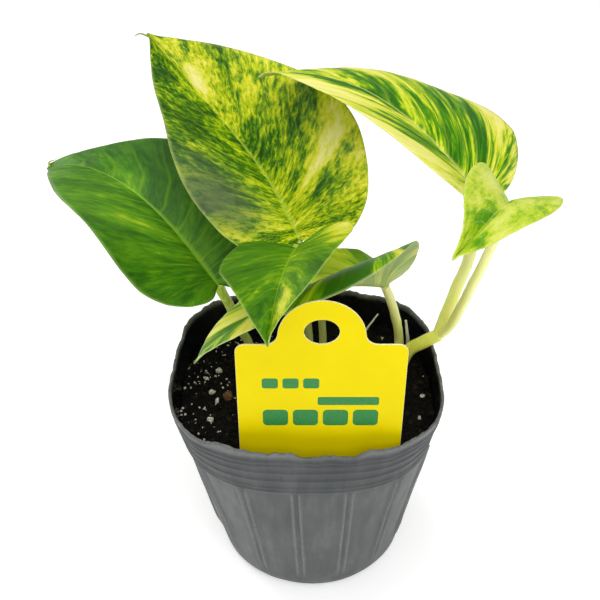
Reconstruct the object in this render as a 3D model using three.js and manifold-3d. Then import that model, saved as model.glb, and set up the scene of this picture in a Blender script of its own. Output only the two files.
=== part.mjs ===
// A young variegated pothos growing in a soft black nursery pot, with its plastic name tag.
// Millimetres, +Z up, z = 0 at the pot's underside. The tag stands at the front (-Y).
import * as THREE from "three";
import { mergeVertices } from "three/addons/utils/BufferGeometryUtils.js";
import Module from "manifold-3d";

const wasm = await Module();
wasm.setup();

// Clearance between pieces that touch or pass through each other.
const GAP = 0.3;

// Pot: a thin tapered shell, pressed slightly square at the rim and leaning a little to one side.
const POT_HEIGHT = 76;
const POT_BASE_RADIUS = 32.7;
const POT_RIM_RADIUS = 47.4;
const POT_WALL = 0.7;
const POT_FLOOR = 1.2;
const POT_FOOT_ROUND = 4;
const POT_RIM_LIP = 0.5;
const POT_RIM_LIP_HEIGHT = 2.5;
const POT_SQUARENESS = 2.9;
const POT_RIM_SIDE = -3.3;
const POT_FOOT_SIDE = -1.4;
const POT_BAND_DEPTH = 18;
const RIB_COUNT = 16;
const RIB_DEPTH = 0.45;
const RIB_FOOT_HEIGHT = 7;
const RIB_FADE_HEIGHT = 2;
const BAND_STEP_HEIGHT = 1;
const SEGMENTS_PER_RIB = 4;
const WALL_ROWS = 5;
const DRAIN_HOLES = 8;
const DRAIN_HOLE_RADIUS = 2.6;
const DRAIN_RING_RADIUS = 20;

// Soil: fills the pot to a little below the rim.
const SOIL_BELOW_RIM = 10.5;
const SOIL_BUMP = 0.7;
const SOIL_LUMP_LENGTH = 22;
const SOIL_RINGS = [1, 0.85, 0.66, 0.44, 0.22, 0];
const STEM_BURIED = 22;

// Name tag: a thin sheet with a hanging loop above its shoulders and a stake below.
const TAG_WIDTH = 48.2;
const TAG_BODY_HEIGHT = 43;
const TAG_ABOVE_SOIL = 1.5;
const TAG_CORNER = 2.6;
const TAG_THICKNESS = 0.5;
const TAG_SIDE_SHIFT = 0.6;
const TAG_NEAREST = 35.8;
const LOOP_RADIUS = 12.2;
const LOOP_CENTRE_RISE = 2.2;
const LOOP_FILLET = 3.6;
const LOOP_HOLE_HALF_WIDTH = 5;
const LOOP_HOLE_HALF_HEIGHT = 4.15;
const LOOP_HOLE_RISE = 4.3;
const STAKE_WIDTH = 11;
const STAKE_LENGTH = 26;
const STAKE_POINT = 8;

// Leaf blades. Lengths in millimetres, angles in degrees.
const LEAF_THICKNESS = 0.6;
const LEAF_RIBS = 4;
const LEAF_ROWS = 14;
const SPINE_STEPS = 24;

const STEM_SIDES = 8;
const STEM_STEPS_PER_POINT = 3;
const HOLE_SIDES = 12;
const MERGE_DISTANCE = 1e-4;
const DEPTH_TRIES = 20;

const SOIL_TOP = POT_HEIGHT - SOIL_BELOW_RIM;
const DEGREE = Math.PI / 180;
const CIRCLE_SEGMENTS = RIB_COUNT * SEGMENTS_PER_RIB;

// Each leaf: where its blade meets its stalk (x and y from the pot's centre, rise above the soil),
// the direction that the midrib sets off in, how it bends on the way to the tip, and how far each
// half is folded up at the base, in the middle and at the tip. "late" moves the droop to the tip,
// "lopsided" widens the right half, and "lobes" says how far the basal lobes reach back.
const LEAVES = {
  leaf_large_mottled: {
    base: [-5.7, 11, 51.2], heading: 109, pitch: 23.5, roll: 11.5, length: 98, halfWidth: 35.4,
    droop: -38, late: 1.2, sweep: 38, twist: 17.5, lopsided: 0.02, lobes: 1,
    leftFold: [34, 27, 8], leftCurl: -1.5, rightFold: [39.5, 34, 23.5], rightCurl: 2.5,
    stalk: [[-2, 24, -STEM_BURIED], [-2, 24, 2], [-4, 22.5, 22], [-6, 19.5, 40], [-5.7, 11, 51.2]],
    stalkRadii: [1.5, 1.2],
    colour: 0x6f9a1c,
  },
  leaf_left: {
    base: [-32, 5.7, 37.3], heading: 123, pitch: 15, roll: 2, length: 94.4, halfWidth: 35.6,
    droop: 40, late: 2.35, sweep: 33, twist: 6, lopsided: 0.02, lobes: 1,
    leftFold: [23, 22, -11], leftCurl: -2.5, rightFold: [30, 14.5, 9.5], rightCurl: -9.5,
    stalk: [[-22.6, 14, -STEM_BURIED], [-23, 14, 4], [-25.2, 12, 14], [-28.5, 9, 26], [-32, 5.7, 37.3]],
    stalkRadii: [1.2, 1.7],
    colour: 0x3f8f22,
  },
  leaf_front: {
    base: [-6.5, -7, 58.2], heading: -98, pitch: 17.5, roll: -12, length: 55.4, halfWidth: 19.5,
    droop: 35.5, late: 0.7, sweep: -4.5, twist: 3, lopsided: -0.02, lobes: 1,
    leftFold: [24.5, 22.5, 42.5], leftCurl: -7, rightFold: [17, 21, 59], rightCurl: -13,
    stalk: [[3, 25, -STEM_BURIED], [3, 25, 2], [1.5, 24.5, 24], [0, 23, 38], [-1.5, 16, 45.5],
      [-3, 5, 50.5], [-6.5, -7, 58.2]],
    stalkRadii: [1.4, 1.2],
    colour: 0x5aa31e,
  },
  leaf_low_folded: {
    base: [22.5, 7.7, 35.9], heading: 211, pitch: 23.5, roll: -20, length: 75.3, halfWidth: 22.9,
    droop: 46, late: 0.1, sweep: -5.5, twist: 19, lopsided: -0.03, lobes: 1,
    leftFold: [86, 32, 7.5], leftCurl: -74, rightFold: [33, 13, 8.5], rightCurl: 1.5,
    stalk: [[30, 17, -STEM_BURIED], [30, 17, 5], [28.4, 14, 15.8], [25.6, 10, 26.7], [22.5, 7.7, 35.9]],
    stalkRadii: [1.5, 1.5],
    colour: 0x5c9f24,
  },
  leaf_arching: {
    base: [53, 20, 60.6], heading: 176, pitch: 53, roll: 19.3, length: 90.2, halfWidth: 37,
    droop: 71, late: 0.43, sweep: -35, twist: 54, lopsided: 0.26, lobes: 0.75,
    leftFold: [31, -14, -32.5], leftCurl: 1.5, rightFold: [24.5, 32, 36], rightCurl: -42,
    stalk: [[43.3, 8.2, 19.5], [44.5, 9.5, 25.2], [47.3, 12, 33.6], [50.6, 15, 42.7], [53, 20, 60.6]],
    stalkRadii: [2.1, 1.9],
    colour: 0x9cc21f,
  },
  leaf_small_right: {
    base: [51.8, -17, 77.7], heading: -105, pitch: 37, roll: 17.5, length: 46.9, halfWidth: 13.4,
    droop: 51, late: -0.85, sweep: -9, twist: -5.5, lopsided: -0.05, lobes: 1,
    leftFold: [41, 34, 41], leftCurl: -20, rightFold: [37.5, 26.5, 66], rightCurl: 0.5,
    stalk: [[44.6, 4, 22.5], [45.9, -2.5, 34.5], [46.8, -10, 48], [48.9, -15, 62], [51.8, -17, 77.7]],
    stalkRadii: [1.7, 1.3],
    colour: 0xb2cc3a,
  },
};

// Half of a leaf's outline, from the notch at the stalk round the basal lobe to the tip:
// share of the half width, share of the length.
const LEAF_OUTLINE = [
  [0, 0], [0.22, -0.085], [0.5, -0.1], [0.8, -0.03], [0.97, 0.12], [1, 0.28],
  [0.91, 0.47], [0.71, 0.65], [0.46, 0.8], [0.22, 0.91], [0.07, 0.97], [0, 1],
];
const OUTLINE_START = 0.03;
const OUTLINE_END = 0.985;

// The vine that carries the two right-hand leaves, from the soil to its fork.
const VINE = {
  path: [[29, 9, -STEM_BURIED], [29.5, 9, -2], [32, 8.4, 8.5], [37, 7.6, 13.2], [41.8, 7.2, 16.4]],
  radii: [2.3, 2.2],
};

// A dry leaf sheath that stands beside the low leaf's stalk, and a sliver of straw in the soil.
const SHEATH = { path: [[33.6, 18.6, -6], [33.4, 18.3, 5], [31.8, 17.2, 15.5]], radii: [0.9, 0.45] };
const STRAW = { path: [[17.5, 29, -1.5], [19.5, 31.5, 1.5], [24, 36, 5.5]], radii: [0.7, 0.45] };

// Perlite grains on the soil: x, y and mean radius. The bark chip is built the same way.
const PERLITE = [
  [-35.5, -4, 1.5], [-33, -9.5, 1.1], [-37, -12.5, 0.9], [-34.5, -18, 1.2], [-31, -23.5, 1.4],
  [-34, 8, 1.2], [-38.5, 4, 0.9], [-33, 17, 1], [-29.5, 1.5, 0.8], [-18, 24, 1.1],
  [36, -6, 1.2], [33.5, -17, 0.9], [38.5, 4.5, 0.8], [8, 26, 1], [25, 27, 1.1],
];
const BARK = { at: [-29.6, -6, 2.3], stretch: [1.3, 0.8, 0.6], turn: 0.6 };
const GRAIN_STRETCH = [1.15, 0.95, 0.8];
const GRAIN_SUNK = 0.35;
const GRAIN_TURN_STEP = 1.7;
const GRAIN_TILT_SHARE = 0.33;

const COLOURS = { pot: 0x2f3234, soil: 0x1d1712, tag: 0xf2e000, stalk: 0xb7cc55, vine: 0xb9bf2c };
const DRY_COLOURS = { sheath: 0xe6e3c4, straw: 0xbdb4a0, perlite: 0xe9e6dc, bark: 0x5b3f2a };

function material(name, color, roughness) {
  return new THREE.MeshStandardMaterial({ name, color, roughness, metalness: 0 });
}

// A geometry as a manifold solid: vertices merged by position, whole and closed.
function solid(geometry) {
  const bare = geometry.clone();
  bare.deleteAttribute("normal");
  bare.deleteAttribute("uv");
  const merged = mergeVertices(bare, MERGE_DISTANCE);
  return new wasm.Manifold(new wasm.Mesh({
    numProp: 3,
    vertProperties: merged.attributes.position.array,
    triVerts: new Uint32Array(merged.index.array),
  }));
}

function geometryOf(manifold) {
  const mesh = manifold.getMesh();
  const geometry = new THREE.BufferGeometry();
  geometry.setAttribute("position", new THREE.BufferAttribute(mesh.vertProperties, mesh.numProp));
  geometry.setIndex(new THREE.BufferAttribute(mesh.triVerts, 1));
  geometry.computeVertexNormals();
  return geometry;
}

function moveVertices(geometry, place) {
  const position = geometry.attributes.position;
  const point = new THREE.Vector3();
  for (let i = 0; i < position.count; i++) {
    point.fromBufferAttribute(position, i);
    place(point);
    position.setXYZ(i, point.x, point.y, point.z);
  }
  return geometry;
}

// Pot

function potRadius(height) {
  return POT_BASE_RADIUS + (POT_RIM_RADIUS - POT_BASE_RADIUS) * (height / POT_HEIGHT);
}

// How far to the side the middle of the pot stands at a height.
function potSide(height) {
  return POT_FOOT_SIDE + (POT_RIM_SIDE - POT_FOOT_SIDE) * (height / POT_HEIGHT);
}

// How far the wall stands from its plain cone, at an angle and a height.
function wallOffset(angle, height) {
  const square = -POT_SQUARENESS * (height / POT_HEIGHT) ** 2 * Math.cos(4 * angle);
  const ribbed = height > RIB_FOOT_HEIGHT && height < POT_HEIGHT - POT_BAND_DEPTH;
  const rib = ribbed ? RIB_DEPTH * Math.max(0, Math.cos(RIB_COUNT * angle)) : 0;
  return square + rib;
}

// Presses a round turned shape into the pot's own form. Its axis is moved from Y to Z first.
function pressLikePot(geometry) {
  geometry.rotateX(Math.PI / 2);
  return moveVertices(geometry, (point) => {
    const radius = Math.hypot(point.x, point.y);
    const angle = Math.atan2(point.y, point.x);
    const share = Math.min(1, radius / potRadius(point.z));
    const pressed = radius + wallOffset(angle, point.z) * share;
    point.x = pressed * Math.cos(angle) + potSide(point.z);
    point.y = pressed * Math.sin(angle);
  });
}

function turned(profile) {
  const points = profile.map(([radius, height]) => new THREE.Vector2(radius, height));
  const geometry = new THREE.LatheGeometry(points, CIRCLE_SEGMENTS);
  return pressLikePot(geometry);
}

// Heights of the rows that shape the side wall, from the foot of the ribs to the foot of the band.
function wallHeights() {
  const low = RIB_FOOT_HEIGHT + RIB_FADE_HEIGHT;
  const bandFoot = POT_HEIGHT - POT_BAND_DEPTH;
  const high = bandFoot - BAND_STEP_HEIGHT;
  const rows = Array.from({ length: WALL_ROWS + 1 }, (_, i) => low + (high - low) * i / WALL_ROWS);
  return [RIB_FOOT_HEIGHT, ...rows, bandFoot];
}

function potProfile() {
  const lipFoot = POT_HEIGHT - POT_RIM_LIP_HEIGHT;
  const inner = (height) => potRadius(height) - POT_WALL;
  const footRadius = potRadius(0) - POT_FOOT_ROUND;
  const foot = [0, 30, 60, 90].map((degrees) => [
    footRadius + POT_FOOT_ROUND * Math.sin(degrees * DEGREE),
    POT_FOOT_ROUND * (1 - Math.cos(degrees * DEGREE)),
  ]);
  return [
    [0, 0],
    [DRAIN_RING_RADIUS, 0],
    ...foot,
    ...wallHeights().map((height) => [potRadius(height), height]),
    [potRadius(lipFoot), lipFoot],
    [potRadius(lipFoot) + POT_RIM_LIP, lipFoot],
    [potRadius(POT_HEIGHT) + POT_RIM_LIP, POT_HEIGHT],
    [inner(POT_HEIGHT), POT_HEIGHT],
    ...wallHeights().reverse().map((height) => [inner(height), height]),
    [inner(POT_FOOT_ROUND), POT_FOOT_ROUND],
    [footRadius, POT_FLOOR],
    [0, POT_FLOOR],
  ];
}

function makePot() {
  let pot = solid(turned(potProfile()));
  const drill = new THREE.CylinderGeometry(
    DRAIN_HOLE_RADIUS, DRAIN_HOLE_RADIUS, 4 * POT_FLOOR, HOLE_SIDES,
  );
  drill.rotateX(Math.PI / 2);
  for (let i = 0; i < DRAIN_HOLES; i++) {
    const angle = (i + 0.5) * 2 * Math.PI / DRAIN_HOLES;
    const x = POT_FOOT_SIDE + DRAIN_RING_RADIUS * Math.cos(angle);
    const at = [x, DRAIN_RING_RADIUS * Math.sin(angle), 0];
    pot = pot.subtract(solid(drill.clone().translate(...at)));
  }
  return pot;
}

// Stems

// A round tapering stem along a smooth path of chosen points, given from the soil's surface up.
function stem(path, radii, clearance = 0) {
  const points = path.map(([x, y, rise]) => new THREE.Vector3(x, y, SOIL_TOP + rise));
  const curve = new THREE.CatmullRomCurve3(points, false, "centripetal");
  const steps = STEM_STEPS_PER_POINT * (path.length - 1);
  const frames = curve.computeFrenetFrames(steps);
  const radius = ([low, high], share) => low + (high - low) * share + clearance;
  const geometry = new THREE.CylinderGeometry(1, 1, 1, STEM_SIDES, steps);
  return moveVertices(geometry, (point) => {
    const share = point.y + 0.5;
    const step = Math.round(share * steps);
    const { x, z } = point;
    const reach = radius(radii, share);
    const beyondEnd = step === steps ? clearance : 0;
    const beyondStart = step === 0 ? clearance : 0;
    point.copy(curve.getPointAt(share));
    point.addScaledVector(frames.normals[step], x * reach);
    point.addScaledVector(frames.binormals[step], -z * reach);
    point.addScaledVector(frames.tangents[step], beyondEnd - beyondStart);
  });
}

// Leaves

function spineOf(leaf) {
  const heading = leaf.heading * DEGREE;
  const pitch = leaf.pitch * DEGREE;
  const flat = new THREE.Vector3(Math.cos(heading), Math.sin(heading), 0);
  const along = flat.clone().multiplyScalar(Math.cos(pitch)).setZ(Math.sin(pitch));
  const up = flat.clone().multiplyScalar(-Math.sin(pitch)).setZ(Math.cos(pitch));
  const side = new THREE.Vector3().crossVectors(up, along);
  up.applyAxisAngle(along, -leaf.roll * DEGREE);
  side.applyAxisAngle(along, -leaf.roll * DEGREE);
  const [x, y, rise] = leaf.base;
  const at = new THREE.Vector3(x, y, SOIL_TOP + rise);
  const frames = [{ at: at.clone(), along: along.clone(), up: up.clone(), side: side.clone() }];
  const turn = new THREE.Quaternion();
  const part = new THREE.Quaternion();
  for (let i = 0; i < SPINE_STEPS; i++) {
    const lateness = 1 + leaf.late * (2 * (i + 0.5) / SPINE_STEPS - 1);
    turn.setFromAxisAngle(side, leaf.droop * DEGREE * lateness / SPINE_STEPS);
    turn.multiply(part.setFromAxisAngle(up, leaf.sweep * DEGREE / SPINE_STEPS));
    turn.multiply(part.setFromAxisAngle(along, leaf.twist * DEGREE / SPINE_STEPS));
    at.addScaledVector(along, leaf.length / SPINE_STEPS / 2);
    for (const axis of [along, up, side]) axis.applyQuaternion(turn);
    at.addScaledVector(along, leaf.length / SPINE_STEPS / 2);
    frames.push({ at: at.clone(), along: along.clone(), up: up.clone(), side: side.clone() });
  }
  return frames;
}

// A value that passes through three given values at the base, in the middle and at the tip.
function throughThree([base, middle, tip], share) {
  return base * (1 - share) * (1 - 2 * share) + middle * 4 * share * (1 - share)
    + tip * share * (2 * share - 1);
}

// A point of a blade: "across" runs from -1 at the right margin to 1 at the left one, "along"
// from 0 at the stalk to 1 at the tip (below 0 in the basal lobes), "lift" is above the middle.
function bladePoint(leaf, spine, across, along, lift) {
  const share = Math.min(1, Math.max(0, along));
  const low = Math.min(SPINE_STEPS - 1, Math.floor(share * SPINE_STEPS));
  const rest = share * SPINE_STEPS - low;
  const mixed = (key) => spine[low][key].clone().lerp(spine[low + 1][key], rest);
  const left = across > 0;
  const fold = throughThree(left ? leaf.leftFold : leaf.rightFold, share) * DEGREE;
  const curl = (left ? leaf.leftCurl : leaf.rightCurl) * DEGREE;
  const sign = Math.sign(across);
  const width = leaf.halfWidth * (1 - sign * leaf.lopsided);
  const bend = curl / width;
  const reach = Math.abs(across) * width;
  const angle = fold + bend * reach;
  const out = (Math.sin(angle) - Math.sin(fold)) / bend;
  const rise = (Math.cos(fold) - Math.cos(angle)) / bend;
  const tilt = sign === 0 ? 0 : Math.sin(angle) * sign;
  return mixed("at")
    .addScaledVector(mixed("along"), Math.min(0, along) * leaf.lobes * leaf.length)
    .addScaledVector(mixed("side"), sign * out - tilt * lift)
    .addScaledVector(mixed("up"), rise + Math.cos(sign === 0 ? 0 : angle) * lift);
}

function makeBlade(leaf) {
  const spine = spineOf(leaf);
  const outline = new THREE.SplineCurve(LEAF_OUTLINE.map(([x, y]) => new THREE.Vector2(x, y)));
  const geometry = new THREE.BoxGeometry(2, 1, LEAF_THICKNESS, 2 * LEAF_RIBS, LEAF_ROWS, 1);
  return moveVertices(geometry, (point) => {
    const row = point.y + 0.5;
    const margin = outline.getPointAt(OUTLINE_START + (OUTLINE_END - OUTLINE_START) * row);
    const inward = Math.abs(point.x);
    const along = row ** 2 * (1 - inward) + margin.y * inward;
    point.copy(bladePoint(leaf, spine, -point.x * margin.x, along, point.z));
  });
}

// Tag

// Half the tag's width, cut down where the tag would have to stand too near the plant to fit.
function tagHalfWidth() {
  const height = SOIL_TOP + TAG_ABOVE_SOIL;
  const angle = Math.atan2(-TAG_NEAREST, TAG_WIDTH / 2);
  const inner = potRadius(height) + wallOffset(angle, height) - POT_WALL - GAP;
  const offCentre = Math.abs(TAG_SIDE_SHIFT - potSide(height));
  return Math.min(TAG_WIDTH / 2, Math.sqrt(inner ** 2 - TAG_NEAREST ** 2) - offCentre);
}

function tagFace(clearance) {
  const half = tagHalfWidth();
  const loopY = TAG_BODY_HEIGHT + LOOP_CENTRE_RISE;
  const filletY = TAG_BODY_HEIGHT + LOOP_FILLET;
  const filletX = Math.sqrt((LOOP_RADIUS + LOOP_FILLET) ** 2 - (filletY - loopY) ** 2);
  const meet = Math.atan2(filletY - loopY, filletX);
  const stake = STAKE_WIDTH / 2 + clearance;
  const face = new THREE.Shape();
  face.moveTo(-stake, 0);
  face.lineTo(-stake, STAKE_POINT - STAKE_LENGTH);
  face.lineTo(0, -STAKE_LENGTH - clearance);
  face.lineTo(stake, STAKE_POINT - STAKE_LENGTH);
  face.lineTo(stake, 0);
  face.absarc(half - TAG_CORNER, TAG_CORNER, TAG_CORNER, -Math.PI / 2, 0, false);
  face.absarc(half - TAG_CORNER, TAG_BODY_HEIGHT - TAG_CORNER, TAG_CORNER, 0, Math.PI / 2, false);
  face.absarc(filletX, filletY, LOOP_FILLET, -Math.PI / 2, Math.PI + meet - 2 * Math.PI, true);
  face.absarc(0, loopY, LOOP_RADIUS, meet, Math.PI - meet, false);
  face.absarc(-filletX, filletY, LOOP_FILLET, -meet, -Math.PI / 2, true);
  face.absarc(TAG_CORNER - half, TAG_BODY_HEIGHT - TAG_CORNER, TAG_CORNER, Math.PI / 2, Math.PI, false);
  face.absarc(TAG_CORNER - half, TAG_CORNER, TAG_CORNER, Math.PI, 1.5 * Math.PI, false);
  if (clearance === 0) {
    const hole = new THREE.Path();
    const holeY = TAG_BODY_HEIGHT + LOOP_HOLE_RISE;
    hole.absellipse(0, holeY, LOOP_HOLE_HALF_WIDTH, LOOP_HOLE_HALF_HEIGHT, 0, 2 * Math.PI, true);
    face.holes.push(hole);
  }
  return face;
}

// How far forward something of a given half width can stand inside the pot at a height.
function roomInFront(halfWidth, height) {
  const reach = halfWidth + Math.abs(TAG_SIDE_SHIFT - potSide(height));
  let depth = potRadius(height) / 2;
  for (let i = 0; i < DEPTH_TRIES; i++) {
    const angle = Math.atan2(-depth, reach);
    const inner = potRadius(height) + wallOffset(angle, height) - POT_WALL - GAP;
    depth = Math.sqrt(inner ** 2 - reach ** 2);
  }
  return depth;
}

// The tag stands as near the front wall as its lower corners and the end of its stake allow.
function tagDepth() {
  const bodyFoot = SOIL_TOP + TAG_ABOVE_SOIL;
  const corners = roomInFront(tagHalfWidth(), bodyFoot);
  const stakeEnd = roomInFront(STAKE_WIDTH / 2, bodyFoot - STAKE_LENGTH);
  return Math.min(corners, stakeEnd) - TAG_THICKNESS - GAP;
}

function makeTag(clearance = 0) {
  const depth = TAG_THICKNESS + 2 * clearance;
  const geometry = new THREE.ExtrudeGeometry(tagFace(clearance), {
    depth, bevelEnabled: false, curveSegments: 6,
  });
  geometry.rotateX(Math.PI / 2);
  return geometry.translate(TAG_SIDE_SHIFT, -tagDepth() + depth / 2, SOIL_TOP + TAG_ABOVE_SOIL);
}

// Soil and what lies on it

// The soil's surface: gentle lumps about its mean level.
function soilBump(x, y) {
  const turn = 2 * Math.PI / SOIL_LUMP_LENGTH;
  const broad = Math.sin(turn * x + 1) * Math.cos(turn * y);
  const fine = Math.sin(2 * turn * (x + y));
  return SOIL_BUMP * (2 * broad + fine) / 3;
}

// A grain or chip, moved in towards the middle where the pot's wall would touch it.
function grain(wantedX, wantedY, size, stretch, turn, clearance = 0) {
  const angle = Math.atan2(wantedY, wantedX);
  const edge = potRadius(SOIL_TOP) + wallOffset(angle, SOIL_TOP) - POT_WALL + POT_RIM_SIDE;
  const room = edge - size * Math.max(...stretch) - GAP;
  const squeeze = Math.min(1, room / Math.hypot(wantedX, wantedY));
  const [x, y] = [wantedX * squeeze, wantedY * squeeze];
  const geometry = new THREE.IcosahedronGeometry(1, 0);
  geometry.scale(...stretch.map((share) => share * size + clearance));
  geometry.rotateZ(turn);
  geometry.rotateX(turn * GRAIN_TILT_SHARE);
  return geometry.translate(x, y, SOIL_TOP + soilBump(x, y) + size * GRAIN_SUNK);
}

const grains = PERLITE.map(([x, y, size], i) => [x, y, size, GRAIN_STRETCH, i * GRAIN_TURN_STEP]);
const barkGrain = [...BARK.at, BARK.stretch, BARK.turn];

function makeSoil() {
  const inner = (height) => potRadius(height) - POT_WALL - GAP;
  const bottom = POT_FLOOR + GAP;
  const edge = inner(SOIL_TOP);
  const profile = [
    [0, bottom],
    [potRadius(0) - POT_FOOT_ROUND - GAP, bottom],
    [inner(POT_FOOT_ROUND), POT_FOOT_ROUND + GAP],
    ...wallHeights().map((height) => [inner(height), height]),
    ...SOIL_RINGS.map((share) => [edge * share, SOIL_TOP]),
  ];
  const lumpy = moveVertices(turned(profile), (point) => {
    if (point.z > SOIL_TOP - GAP) point.z += soilBump(point.x, point.y);
  });
  let soil = solid(lumpy).subtract(solid(makeTag(GAP)));
  for (const { path, radii } of stems) soil = soil.subtract(solid(stem(path, radii, GAP)));
  for (const one of [...grains, barkGrain]) soil = soil.subtract(solid(grain(...one, GAP)));
  return soil;
}

// Assembly

const plant = new THREE.Group();

function add(name, geometry, finish) {
  const mesh = new THREE.Mesh(geometry, finish);
  mesh.name = name;
  plant.add(mesh);
}

const stems = [];

function addStem(name, path, radii, finish) {
  stems.push({ path, radii });
  add(name, stem(path, radii), finish);
}

const stalkFinish = material("stalk", COLOURS.stalk, 0.5);
for (const [name, leaf] of Object.entries(LEAVES)) {
  const blade = solid(makeBlade(leaf)).subtract(solid(stem(leaf.stalk, leaf.stalkRadii, GAP)));
  add(name, geometryOf(blade), material(name, leaf.colour, 0.4));
  addStem(name.replace("leaf", "stalk"), leaf.stalk, leaf.stalkRadii, stalkFinish);
}
addStem("vine_right", VINE.path, VINE.radii, material("vine", COLOURS.vine, 0.5));
addStem("dry_sheath", SHEATH.path, SHEATH.radii, material("sheath", DRY_COLOURS.sheath, 0.8));
addStem("straw_sliver", STRAW.path, STRAW.radii, material("straw", DRY_COLOURS.straw, 0.9));

const perliteFinish = material("perlite", DRY_COLOURS.perlite, 0.95);
grains.forEach((one, i) => {
  add("perlite_" + String(i + 1).padStart(2, "0"), grain(...one), perliteFinish);
});
add("bark_chip", grain(...barkGrain), material("bark", DRY_COLOURS.bark, 0.95));

add("pot", geometryOf(makePot()), material("pot", COLOURS.pot, 0.45));
add("soil", geometryOf(makeSoil()), material("soil", COLOURS.soil, 1));
add("name_tag", makeTag(), material("tag", COLOURS.tag, 0.35));

export default plant;
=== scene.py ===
import math

import bpy
import bmesh
import numpy as np
from mathutils import Matrix, Quaternion, Vector, noise


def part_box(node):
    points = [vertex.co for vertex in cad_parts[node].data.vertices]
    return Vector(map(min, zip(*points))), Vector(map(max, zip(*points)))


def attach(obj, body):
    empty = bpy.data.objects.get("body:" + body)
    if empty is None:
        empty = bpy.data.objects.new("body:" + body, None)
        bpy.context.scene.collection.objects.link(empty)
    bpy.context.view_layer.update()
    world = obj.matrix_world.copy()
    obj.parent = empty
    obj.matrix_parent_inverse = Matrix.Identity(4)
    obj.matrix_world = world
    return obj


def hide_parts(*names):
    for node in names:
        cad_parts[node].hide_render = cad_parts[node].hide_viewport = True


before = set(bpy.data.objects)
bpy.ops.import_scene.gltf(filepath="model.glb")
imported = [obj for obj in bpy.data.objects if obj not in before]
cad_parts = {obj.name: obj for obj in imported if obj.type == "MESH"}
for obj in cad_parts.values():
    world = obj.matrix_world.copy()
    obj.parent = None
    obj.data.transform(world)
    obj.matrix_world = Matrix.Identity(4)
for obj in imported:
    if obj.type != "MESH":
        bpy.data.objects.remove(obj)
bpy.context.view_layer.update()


# ---- Studio ----
# A pale seamless table top, a large soft light overhead and in front, and a weaker one behind.
# The camera looks down on the plant from the front, a little to the left of the pot's axis.

def feed(socket, value):
    """Joins another socket to this one, or sets its plain value."""
    if isinstance(value, bpy.types.NodeSocket):
        socket.id_data.links.new(value, socket)
    elif value is not None:
        socket.default_value = value


def put(tree, kind, *values, **named):
    """Adds a node. The values feed its first inputs; each name is a further input or a setting."""
    node = tree.nodes.new(kind)
    for name, value in named.items():
        if name not in node.inputs:
            setattr(node, name, value)
    further = [(node.inputs[name], value) for name, value in named.items() if name in node.inputs]
    for socket, value in [*zip(node.inputs, values), *further]:
        feed(socket, value)
    return node


def add(tree, kind, *values, **named):
    """The first output of a new node."""
    return put(tree, kind, *values, **named).outputs[0]


def own_place(tree):
    """A point's place in its own object."""
    return put(tree, "ShaderNodeTexCoord").outputs["Object"]


def cloudy(place, scale, detail=2.0, rough=0.5, swirl=0.0):
    """A noise value."""
    tree = place.id_data
    return add(tree, "ShaderNodeTexNoise", place, Scale=scale, Detail=detail, Roughness=rough,
               Distortion=swirl)


def rgb(red, green, blue):
    """A colour given in display values from 0 to 255, as the shader's linear light."""
    linear = [((c / 255 + 0.055) / 1.055) ** 2.4 if c > 10 else c / 3295 for c in (red, green, blue)]
    return (*linear, 1)


def ramp(value, stops):
    """A colour ramp over chosen stops, each a place and a colour in display values."""
    node = put(value.id_data, "ShaderNodeValToRGB", value)
    band = node.color_ramp
    while len(band.elements) < len(stops):
        band.elements.new(1)
    for element, (place, colour) in zip(band.elements, stops):
        element.position = place
        element.color = rgb(*colour)
    return node.outputs[0]


def new_material(name, **constants):
    """A material whose shader sockets hold the given constants. Returns it, its tree and its shader."""
    material = bpy.data.materials.new(name)
    material.use_nodes = True
    tree = material.node_tree
    shader = next(n for n in tree.nodes if n.type == "BSDF_PRINCIPLED")
    for socket, value in constants.items():
        shader.inputs[socket.replace("_", " ")].default_value = value
    return material, tree, shader


def paint(shader, colour):
    feed(shader.inputs["Base Color"], colour)


def add_object(name, data):
    """An object made from a mesh, curve, lamp or camera and added to the scene."""
    made = bpy.data.objects.new(name, data)
    bpy.context.collection.objects.link(made)
    return made


CAMERA_PLACE = (-0.0054, -0.2166, 0.2420)
CAMERA_TILT = 56.9
CAMERA_LENS = 48.46
CAMERA_NEAREST = 0.01

camera = add_object("camera", bpy.data.cameras.new("camera"))
camera.data.lens = CAMERA_LENS
camera.data.clip_start = CAMERA_NEAREST
camera.location = CAMERA_PLACE
camera.rotation_euler = (math.radians(CAMERA_TILT), 0, 0)
bpy.context.scene.camera = camera
bpy.context.scene.view_settings.view_transform = "Standard"

# Each light's place, size and power.
SOFTBOXES = {
    "overhead_light": ((-0.10, 0.10, 1.2), 0.9, 6.0),
    "front_light": ((0.15, -0.80, 0.90), 0.9, 6.4),
    "back_left_light": ((-0.9, 0.8, 0.6), 0.6, 3.2),
}
LIGHT_AIM = Vector((0, 0, 0.08))
ROOM_LIGHT = 0.34

for name, (place, size, power) in SOFTBOXES.items():
    lamp = bpy.data.lights.new(name, "AREA")
    lamp.size = size
    lamp.energy = power
    light = add_object(name, lamp)
    light.location = place
    light.rotation_euler = (LIGHT_AIM - Vector(place)).to_track_quat("-Z", "Y").to_euler()

world = bpy.data.worlds.new("studio")
world.use_nodes = True
world.node_tree.nodes["Background"].inputs["Color"].default_value = (1, 1, 1, 1)
world.node_tree.nodes["Background"].inputs["Strength"].default_value = ROOM_LIGHT
bpy.context.scene.world = world

FLOOR_HALF = 4
FLOOR_GLOW = 0.40
PAPER_GRAIN = 30
PAPER_DULL = (247, 247, 247)
PAPER_BRIGHT = (251.6, 251.6, 251.6)

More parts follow.
